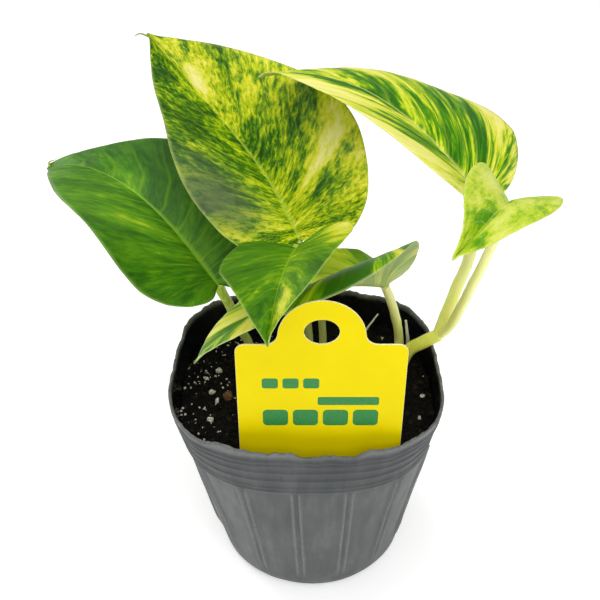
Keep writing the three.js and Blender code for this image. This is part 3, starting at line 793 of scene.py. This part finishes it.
def outline_by_length():
    """The outline as a smooth curve, sampled evenly along its length: rows of across and along."""
    points = [Vector((x, y, 0)) for x, y in LEAF_OUTLINE]
    fine = np.array([p[:2] for p in smooth_route(points, 20)])
    walked = np.r_[0, np.cumsum(np.hypot(*np.diff(fine, axis=0).T))]
    wanted = np.linspace(OUTLINE_START, OUTLINE_END, BLADE_ROWS + 1) * walked[-1]
    return np.stack([np.interp(wanted, walked, fine[:, k]) for k in (0, 1)], 1)


def through_three(values, share):
    base, middle, tip = values
    return (base * (1 - share) * (1 - 2 * share) + middle * 4 * share * (1 - share)
            + tip * share * (2 * share - 1))


def blade_points(leaf, spine, across, along, lift):
    """Places on the blade for arrays of across (left is positive), along and lift."""
    share = np.clip(along, 0, 1)
    steps = np.linspace(0, 1, SPINE_STEPS + 1)
    mixed = np.stack([np.interp(share, steps, spine[:, k]) for k in range(12)], -1)
    at, axis, up, side = mixed[..., 0:3], mixed[..., 3:6], mixed[..., 6:9], mixed[..., 9:12]
    sign = np.sign(across)
    left = across > 0
    fold = np.radians(np.where(left, through_three(leaf["left_fold"], share),
                               through_three(leaf["right_fold"], share)))
    curl = np.radians(np.where(left, leaf["left_curl"], leaf["right_curl"]))
    width = leaf["half_width"] * (1 - sign * leaf["lopsided"])
    bend = curl / width
    angle = fold + bend * np.abs(across) * width
    out = (np.sin(angle) - np.sin(fold)) / bend
    rise = (np.cos(fold) - np.cos(angle)) / bend
    tilt = np.where(sign == 0, 0, angle)
    back = np.minimum(0, along) * leaf.get("lobes", 1) * leaf["length"]
    return (at + axis * back[..., None] + side * (sign * out - np.sin(tilt) * sign * lift)[..., None]
            + up * (rise + np.cos(tilt) * lift)[..., None])


def blade_mesh(name, leaf, base):
    """A blade as one closed sheet, with the veins' own coordinates as its UV map."""
    columns = np.linspace(-1, 1, 2 * BLADE_RIBS + 1)
    rows = np.linspace(0, 1, BLADE_ROWS + 1)
    column, row = np.meshgrid(columns, rows)
    half = np.sign(column)
    inward = np.abs(column)
    outline = outline_by_length()
    reach = inward ** VEIN_CURVE
    along = row ** leaf["slant"] * (1 - reach) + outline[:, 1:2] * reach
    across = -column * outline[:, 0:1]
    crease = np.abs(np.sin(math.pi * (row * VEIN_COUNT + VEIN_STAGGER * half))) ** 0.6
    quilted = np.clip(4 * inward * (1.15 - inward), 0, 1)
    relief = QUILTING * (crease - QUILT_LEVEL) * quilted
    beat = 2 * math.pi * (WAVE_COUNT * row + WAVE_STAGGER * half) + leaf["roll"]
    relief = relief + leaf["wave"] * inward ** 2.5 * np.sin(beat)
    thin = BLADE_THICKNESS / 2 * (1 - EDGE_THINNING * inward ** 5)
    middle = np.abs(across) * leaf["half_width"] / KEEL_WIDTH
    keel = KEEL_DEPTH * np.exp(-middle ** 2) * np.clip(1.05 - row, 0, 1)
    groove = GROOVE_DEPTH * np.exp(-(GROOVE_NARROWING * middle) ** 2)
    spine = spine_of(leaf, base)
    upper = blade_points(leaf, spine, across, along, relief + thin - groove)
    under = blade_points(leaf, spine, across, along, relief - thin - keel)
    points = np.concatenate([upper.reshape(-1, 3), under.reshape(-1, 3)])
    count = column.size
    index = np.arange(count).reshape(column.shape)
    quads = np.stack([index[:-1, :-1], index[:-1, 1:], index[1:, 1:], index[1:, :-1]], -1).reshape(-1, 4)
    loop = np.concatenate([index[0, :], index[1:, -1], index[-1, -2::-1], index[-2:0:-1, 0]])
    after = np.roll(loop, -1)
    edge = np.stack([loop + count, after + count, after, loop], -1)
    faces = np.concatenate([quads, quads[:, [0, 3, 2, 1]] + count, edge])
    mesh = bpy.data.meshes.new(name)
    mesh.from_pydata(points.tolist(), [], faces.tolist())
    mesh.polygons.foreach_set("use_smooth", [True] * len(faces))
    where = np.stack([(column + 1) / 2, row], -1).reshape(-1, 2)
    corners = np.zeros(len(mesh.loops), int)
    mesh.loops.foreach_get("vertex_index", corners)
    mesh.uv_layers.new(name="blade").data.foreach_set("uv", where[corners % count].ravel())
    note(mesh, "underside", np.repeat([0.0, 1.0], count))
    return mesh, spine


# Side veins, midrib and margin, drawn in the blade's own coordinates.
VEIN_WANDER = 0.5
VEIN_WIDTH = 0.09
MARGIN_START = 0.972

tree, given, result = node_group("ShaderNodeTree", "Leaf veins", ("Place", "Count", "Width"),
                                 ("Veins", "Midrib", "Margin", "Across", "Row"))
u, v, _ = put(tree, "ShaderNodeSeparateXYZ", given["Place"]).outputs
across = minus(times(u, 2.0), 1.0)
outward = sums("ABSOLUTE", across)
wander = cloudy(given["Place"], 5.0)
phase = plus(times(v, given["Count"]), times(sums("SIGN", across), VEIN_STAGGER), times(wander, VEIN_WANDER))
near = sums("ABSOLUTE", minus(sums("FRACT", phase), 0.5))
line = rescale(near, 0.0, given["Width"], 1.0, 0.0)
fade = rescale(outward, 0.15, 0.95, 1.0, 0.15)
midrib_width = minus(0.055, times(v, 0.02))
for label, value in (("Veins", times(line, fade)), ("Across", across), ("Row", v),
                     ("Midrib", rescale(outward, 0.0, midrib_width, 1.0, 0.0)),
                     ("Margin", rescale(outward, MARGIN_START, 1.0))):
    feed(result[label], value)
leaf_veins = tree

# Variegation: a level from coarse and fine streaks that run along the side veins.
tree, given, result = node_group(
    "ShaderNodeTree", "Variegation", ("Place", "Offset", "Coarse", "Fine", "Fine share", "Stretch"),
    ("Level", "Fleck"))
u, v, _ = put(tree, "ShaderNodeSeparateXYZ", given["Place"]).outputs


def streaks(scale, detail, rough):
    outward = times(u, times(scale, given["Stretch"]))
    spot = add(tree, "ShaderNodeCombineXYZ", outward, times(v, scale), given["Offset"])
    return cloudy(spot, 1.0, detail, rough, swirl=0.35)


coarse = streaks(given["Coarse"], 3.0, 0.55)
fine = streaks(given["Fine"], 5.0, 0.7)
feed(result["Level"], plus(coarse, times(minus(fine, coarse), given["Fine share"])))
feed(result["Fleck"], fine)
variegation = tree

# A soft-edged oval area of the blade where the paler colours gather.
tree, given, result = node_group(
    "ShaderNodeTree", "Blotch",
    ("Across", "Row", "Centre across", "Centre row", "Half width", "Half height"), ("Amount",))
dx = over(minus(given["Across"], given["Centre across"]), given["Half width"])
dy = over(minus(given["Row"], given["Centre row"]), given["Half height"])
feed(result["Amount"], sums("EXPONENT", times(plus(times(dx, dx), times(dy, dy)), -1.0)))
blotch = tree

# Colours run from the darkest green to the palest cream. "left" and "right" shift each half up or
# down that run, "areas" list centre across (the left half is negative), centre row, half width,
# half height and shift, "tints" are such areas with an amount and a colour of their own (two of
# them are painted light), and "streaks" are the coarse and fine scales, fine share and stretch.
LEAF_COLOURS = {
    "leaf_large_mottled": dict(
        seed=3.1, stops=[(.38, (26, 76, 2)), (.445, (66, 118, 0)), (.495, (126, 164, 0)),
                         (.54, (186, 202, 4)), (.60, (228, 226, 50)), (.70, (248, 240, 150))],
        left=-.052, right=.014, streaks=(13, 80, .54, .27), vein=(190, 206, 30), vein_share=.35,
        midrib=(172, 196, 40), edge=(180, 196, 90), sheen=.40,
        areas=[(.56, .47, .36, .022, .20), (.24, .89, .26, .030, .22), (.7, .86, .3, .05, .08),
               (.5, .08, .5, .12, .07), (-.2, .36, .22, .14, .10), (-.8, .30, .25, .05, .13),
               (.12, .60, .16, .20, -.05)],
        # The tint here is a painted sheen: grey-green reflected light over the lower left half.
        tints=[(-.75, .44, .46, .13, 1.6, (98, 112, 80))]),
    "leaf_left": dict(
        seed=7.7, stops=[(.34, (30, 82, 0)), (.48, (60, 118, 0)), (.60, (92, 150, 4)),
                         (.70, (150, 190, 24)), (.80, (206, 216, 70))],
        left=0, right=-.01, streaks=(8, 56, .5, .2), vein=(130, 180, 30), vein_share=.4,
        midrib=(150, 196, 60), edge=(140, 180, 80), sheen=.40,
        areas=[(-.5, .60, .45, .05, .12), (.2, .80, .3, .05, .11), (-.7, .38, .3, .12, .03),
               (.8, .18, .2, .06, .14)]),
    "leaf_front": dict(
        seed=12.4, stops=[(.36, (40, 96, 0)), (.50, (72, 128, 0)), (.59, (118, 164, 2)),
                          (.69, (206, 214, 40)), (.84, (240, 234, 110))],
        left=.01, right=-.03, streaks=(7, 44, .5, .16), vein=(150, 196, 20), vein_share=.3,
        midrib=(140, 184, 20), edge=(150, 190, 50), sheen=.42,
        areas=[(-.9, .40, .40, .15, .27), (-.65, .86, .3, .06, .24), (-.1, .62, .3, .14, .10),
               (.5, .55, .5, .04, .09)]),
    "leaf_low_folded": dict(
        seed=18.9, stops=[(.40, (44, 102, 0)), (.47, (84, 144, 2)), (.51, (164, 194, 6)),
                          (.56, (236, 230, 50)), (.68, (248, 242, 140))],
        left=-.02, right=0, streaks=(8, 40, .4, .08), vein=(190, 212, 50), vein_share=.2,
        midrib=(214, 226, 130), edge=(226, 236, 170), sheen=.40,
        areas=[(.3, .60, .4, .08, .12), (0, .86, .9, .03, .18), (-.6, .55, .4, .2, -.06),
               (.6, .3, .4, .12, -.06)],
        tints=[(-.6, .06, .9, .10, 1.8, (214, 226, 186)),
               # The second tint is painted light: it brightens the far half, which lies in the shade of the
               # leaves above.
               (.6, .5, .6, .3, 0.9, (170, 214, 30))]),
    "leaf_arching": dict(
        seed=23.3, stops=[(.41, (40, 106, 0)), (.47, (84, 148, 2)), (.505, (150, 190, 4)),
                          (.54, (212, 222, 40)), (.62, (246, 242, 118)), (.78, (250, 246, 176))],
        left=.035, right=.012, streaks=(13, 60, .46, .14), vein=(224, 232, 90), vein_share=.2,
        midrib=(232, 236, 130), edge=(230, 236, 120), sheen=.38,
        areas=[(-.1, .2, .8, .2, .06), (-.5, .60, .5, .05, -.11), (-.5, .86, .4, .04, -.11),
               (-.92, .6, .3, .4, .12), (.95, .5, .22, .4, .08), (.4, .45, .4, .10, -.05)]),
    "leaf_small_right": dict(
        seed=31.6, stops=[(.34, (84, 150, 8)), (.42, (132, 182, 16)), (.48, (182, 210, 40)),
                          (.56, (214, 226, 84)), (.74, (240, 244, 140))],
        left=.055, right=.02, streaks=(7, 34, .4, .6), vein=(236, 242, 150), vein_share=.22,
        midrib=(200, 220, 100), edge=(224, 234, 120), sheen=.42,
        areas=[(-.4, .90, .6, .10, -.16), (.35, .80, .35, .08, -.16), (-.2, .62, .25, .10, -.10),
               (-.75, .45, .25, .10, -.08), (.6, .35, .4, .2, .05)]),
}
UNDERSIDE_TINT = (196, 212, 150)
UNDERSIDE_SHARE = 0.6
MIDRIB_SHARE = 0.75
EDGE_SHARE = 0.45
SHEEN_RUN = 0.1


def leaf_finish(name, look):
    """The waxy, variegated skin of one leaf."""
    material, tree, shader = new_material(name + "_skin", Specular_IOR_Level=0.2, Coat_Roughness=0.3,
                                          Subsurface_Weight=0.06, Subsurface_Scale=0.002)
    place = add(tree, "ShaderNodeUVMap", uv_map="blade")
    veins = put(tree, "ShaderNodeGroup", place, float(VEIN_COUNT), VEIN_WIDTH, node_tree=leaf_veins).outputs
    marks = put(tree, "ShaderNodeGroup", place, look["seed"], *look["streaks"],
                node_tree=variegation).outputs

    def oval(*spot):
        return add(tree, "ShaderNodeGroup", veins["Across"], veins["Row"], *spot, node_tree=blotch)

    level = plus(marks["Level"], rescale(veins["Across"], -0.04, 0.04, look["left"], look["right"]))
    for *spot, shift in look["areas"]:
        level = plus(level, times(oval(*spot), shift))
    colour = ramp(level, look["stops"])
    for *spot, amount, tint in look.get("tints", []):
        colour = blend(times(oval(*spot), times(marks["Fleck"], amount)), colour, tint)
    under = noted(tree, "underside")
    for factor, share, tint in ((veins["Veins"], look["vein_share"], look["vein"]),
                                (veins["Midrib"], MIDRIB_SHARE, look["midrib"]),
                                (veins["Margin"], EDGE_SHARE, look["edge"]),
                                (under, UNDERSIDE_SHARE, UNDERSIDE_TINT)):
        colour = blend(times(factor, share), colour, tint)
    paint(shader, colour)
    roughen(shader, marks["Fleck"], look["sheen"], look["sheen"] + SHEEN_RUN)
    relief = minus(times(marks["Fleck"], 0.5), times(veins["Veins"], 0.5))
    emboss(shader, relief, strength=0.45, depth=0.0004)
    return material


spines = {}
for name, leaf in LEAVES.items():
    x, y, rise = STEMS[name.replace("leaf", "stalk")][0][-1]
    mesh, spines[name] = blade_mesh(name + "_blade", leaf, (x, y, SOIL_TOP + rise))
    blade = add_object(name + "_blade", mesh)
    mesh.materials.append(leaf_finish(name, LEAF_COLOURS[name]))
    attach(blade, "root")
    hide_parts(name)


# ---- Leaf tips ----
# The midrib of each of the two big leaves runs out past the blade into a fine thread, which has
# dried and curled. It is one with the leaf that it grew from.

TIPS = {"leaf_large_mottled": ((-.006, .001, .002), (-.010, .001, .0005)),
        "leaf_left": ((-.001, .003, .002), (.003, .005, .003))}
TIP_REACH = 0.6
TIP_ROOT = 0.002
TIP_STEPS = 8
TIP_RADII = (0.00045, 0.0001)

tip_finish = stem_finish("tip_skin", (150, 176, 70), (120, 110, 60), (170, 150, 90), 0.6)
for name, bends in TIPS.items():
    end = Vector(spines[name][-1][:3]) - Vector(spines[name][-1][3:6]) * TIP_ROOT
    route = smooth_route([end, *(end + Vector(bend) * TIP_REACH for bend in bends)], TIP_STEPS)
    start = route_mesh(name + "_tip_route", route, np.linspace(*TIP_RADII, len(route)))
    thread = grown(name + "_tip", start, fleshy_stem, sides=10, unevenness=0.0, lump_scale=100.0,
                   material=tip_finish)
    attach(thread, "root")


# ---- Name tag ----
# A die-cut sheet of yellow plastic with a hanging loop. Its stake is pushed into the soil at the
# front. Its white core shows at the cut edge, and its print is plain green bars.

TAG_LOW, TAG_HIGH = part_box("name_tag")
TAG_CENTRE = (TAG_LOW.x + TAG_HIGH.x) / 2
TAG_HALF = (TAG_HIGH.x - TAG_LOW.x) / 2
TAG_THICKNESS = TAG_HIGH.y - TAG_LOW.y
TAG_BEVEL = 0.00008
TAG_CORNER = 0.0026
LOOP_RADIUS = 0.0122
LOOP_RISE = 0.0022
LOOP_FILLET = 0.0036
LOOP_HOLE = (0.005, 0.00415)
LOOP_HOLE_RISE = 0.0043
STAKE_HALF = 0.0055
STAKE_POINT = 0.008
CORNER_STEPS = 8
FILLET_STEPS = 10
LOOP_STEPS = 48
HOLE_STEPS = 40
TAG_SHOULDER = TAG_HIGH.z - LOOP_RADIUS - LOOP_RISE
TAG_FOOT = TAG_SHOULDER - 0.043


def arc(centre, radius, start, stop, steps):
    """Points along an arc, with its angles in degrees. Two radii make it a part of an oval."""
    across, tall = radius if isinstance(radius, tuple) else (radius, radius)
    turn = np.radians(np.linspace(start, stop, steps + 1))
    return [(centre[0] + across * math.cos(a), centre[1] + tall * math.sin(a)) for a in turn]


def rounded_box(low, high, radius, steps):
    """The outline of a rounded rectangle, from its bottom right corner upward."""
    left, right = low[0] + radius, high[0] - radius
    bottom, top = low[1] + radius, high[1] - radius
    corners = ((right, bottom, -90), (right, top, 0), (left, top, 90), (left, bottom, 180))
    return [point for x, z, start in corners for point in arc((x, z), radius, start, start + 90, steps)]


def die_cut(name, outlines, front, thickness, bevel):
    """Outlines in X and Z filled as one sheet, whose front face stands at the given Y."""
    shape = bpy.data.curves.new(name + "_shape", "CURVE")
    shape.dimensions = "2D"
    shape.fill_mode = "BOTH"
    shape.extrude = thickness / 2 - bevel
    shape.bevel_depth = bevel
    shape.bevel_resolution = 1
    for outline in outlines:
        spline = shape.splines.new("POLY")
        spline.points.add(len(outline) - 1)
        for point, (x, z) in zip(spline.points, outline):
            point.co = (x, z, 0, 1)
        spline.use_cyclic_u = True
    mesh = plain_mesh(add_object(name + "_flat", shape))
    stand = Matrix.Translation((0, front + thickness / 2, 0)) @ Matrix.Rotation(math.pi / 2, 4, "X")
    mesh.transform(stand)
    whole = bmesh.new()
    whole.from_mesh(mesh)
    bmesh.ops.remove_doubles(whole, verts=whole.verts, dist=TINY)
    bmesh.ops.recalc_face_normals(whole, faces=whole.faces)
    whole.to_mesh(mesh)
    whole.free()
    return add_object(name, mesh)


left, right = TAG_CENTRE - TAG_HALF, TAG_CENTRE + TAG_HALF
stake_left, stake_right = TAG_CENTRE - STAKE_HALF, TAG_CENTRE + STAKE_HALF
corner_foot, corner_top = TAG_FOOT + TAG_CORNER, TAG_SHOULDER - TAG_CORNER
loop_z = TAG_SHOULDER + LOOP_RISE
fillet_z = TAG_SHOULDER + LOOP_FILLET
fillet_x = math.sqrt((LOOP_RADIUS + LOOP_FILLET) ** 2 - (fillet_z - loop_z) ** 2)
meet = math.degrees(math.atan2(fillet_z - loop_z, fillet_x))
tag_outline = [
    (stake_left, TAG_FOOT), (stake_left, TAG_LOW.z + STAKE_POINT), (TAG_CENTRE, TAG_LOW.z),
    (stake_right, TAG_LOW.z + STAKE_POINT), (stake_right, TAG_FOOT),
    *arc((right - TAG_CORNER, corner_foot), TAG_CORNER, -90, 0, CORNER_STEPS),
    *arc((right - TAG_CORNER, corner_top), TAG_CORNER, 0, 90, CORNER_STEPS),
    *arc((TAG_CENTRE + fillet_x, fillet_z), LOOP_FILLET, -90, -180 + meet, FILLET_STEPS),
    *arc((TAG_CENTRE, loop_z), LOOP_RADIUS, meet, 180 - meet, LOOP_STEPS),
    *arc((TAG_CENTRE - fillet_x, fillet_z), LOOP_FILLET, -meet, -90, FILLET_STEPS),
    *arc((left + TAG_CORNER, corner_top), TAG_CORNER, 90, 180, CORNER_STEPS),
    *arc((left + TAG_CORNER, corner_foot), TAG_CORNER, 180, 270, CORNER_STEPS),
]
hanging_hole = arc((TAG_CENTRE, TAG_SHOULDER + LOOP_HOLE_RISE), LOOP_HOLE, 0, -360, HOLE_STEPS)[:-1]
tag = die_cut("tag_sheet", [tag_outline, hanging_hole], TAG_LOW.y, TAG_THICKNESS, TAG_BEVEL)

TAG_YELLOW = (226, 206, 0)
TAG_DEEP = (220, 200, 0)
TAG_GLOW = 0.16
TAG_CORE = (250, 248, 214)

# The yellow also glows a little: painted light that lifts the shade at the tag's foot by the pot's rim.
tag_finish, tree, shader = new_material(
    "tag_yellow", Specular_IOR_Level=0.08, Emission_Color=rgb(*TAG_YELLOW), Emission_Strength=TAG_GLOW)
place = own_place(tree)
scratch = add(tree, "ShaderNodeMapping", place, Rotation=(0, 0.5, 0), Scale=(0.1, 1, 1))
scratch = cloudy(scratch, 1400, detail=3, rough=0.6)
paint(shader, ramp(cloudy(place, 90, detail=3), [(0.2, TAG_DEEP), (0.7, TAG_YELLOW)]))
roughen(shader, scratch, low=0.3, high=0.42)
emboss(shader, scratch, strength=0.08, depth=0.0002)
core_finish, tree, shader = new_material("tag_core", Roughness=0.6)
burr = cloudy(own_place(tree), 1800, detail=3)
paint(shader, ramp(burr, [(0.3, TAG_YELLOW), (0.5, TAG_CORE)]))
tag.data.materials.clear()
tag.data.materials.append(tag_finish)
tag.data.materials.append(core_finish)
for face in tag.data.polygons:
    face.material_index = 0 if abs(face.normal.y) > 0.95 else 1
    face.use_smooth = False
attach(tag, "root")
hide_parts("name_tag")

# Rows of bars: drop below the shoulder, start from the left edge, bar width, height, gap, count.
PRINT_ROWS = [(.0118, .0072, .0046, .0036, .0013, 3), (.0186, .0232, .0178, .0030, 0, 1),
              (.0234, .0072, .0074, .0060, .0014, 4)]
PRINT_THICKNESS = 0.00006
PRINT_SUNK = 0.7
PRINT_ROUNDING = 0.22
PRINT_STEPS = 5
INK_DARK = (14, 112, 40)
INK_LIGHT = (40, 146, 60)

bars = []
for drop, start, wide, tall, gap, count in PRINT_ROWS:
    for i in range(count):
        low = (left + start + i * (wide + gap), TAG_SHOULDER - drop - tall)
        high = (low[0] + wide, low[1] + tall)
        bars.append(rounded_box(low, high, min(tall, wide) * PRINT_ROUNDING, PRINT_STEPS))
ink = die_cut("tag_print", bars, TAG_LOW.y - PRINT_THICKNESS * PRINT_SUNK, PRINT_THICKNESS, 0)
ink_finish, tree, shader = new_material("green_ink", Roughness=0.4)
paint(shader, ramp(cloudy(own_place(tree), 1600), [(0.2, INK_DARK), (0.8, INK_LIGHT)]))
ink.data.materials.clear()
ink.data.materials.append(ink_finish)
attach(ink, "root")
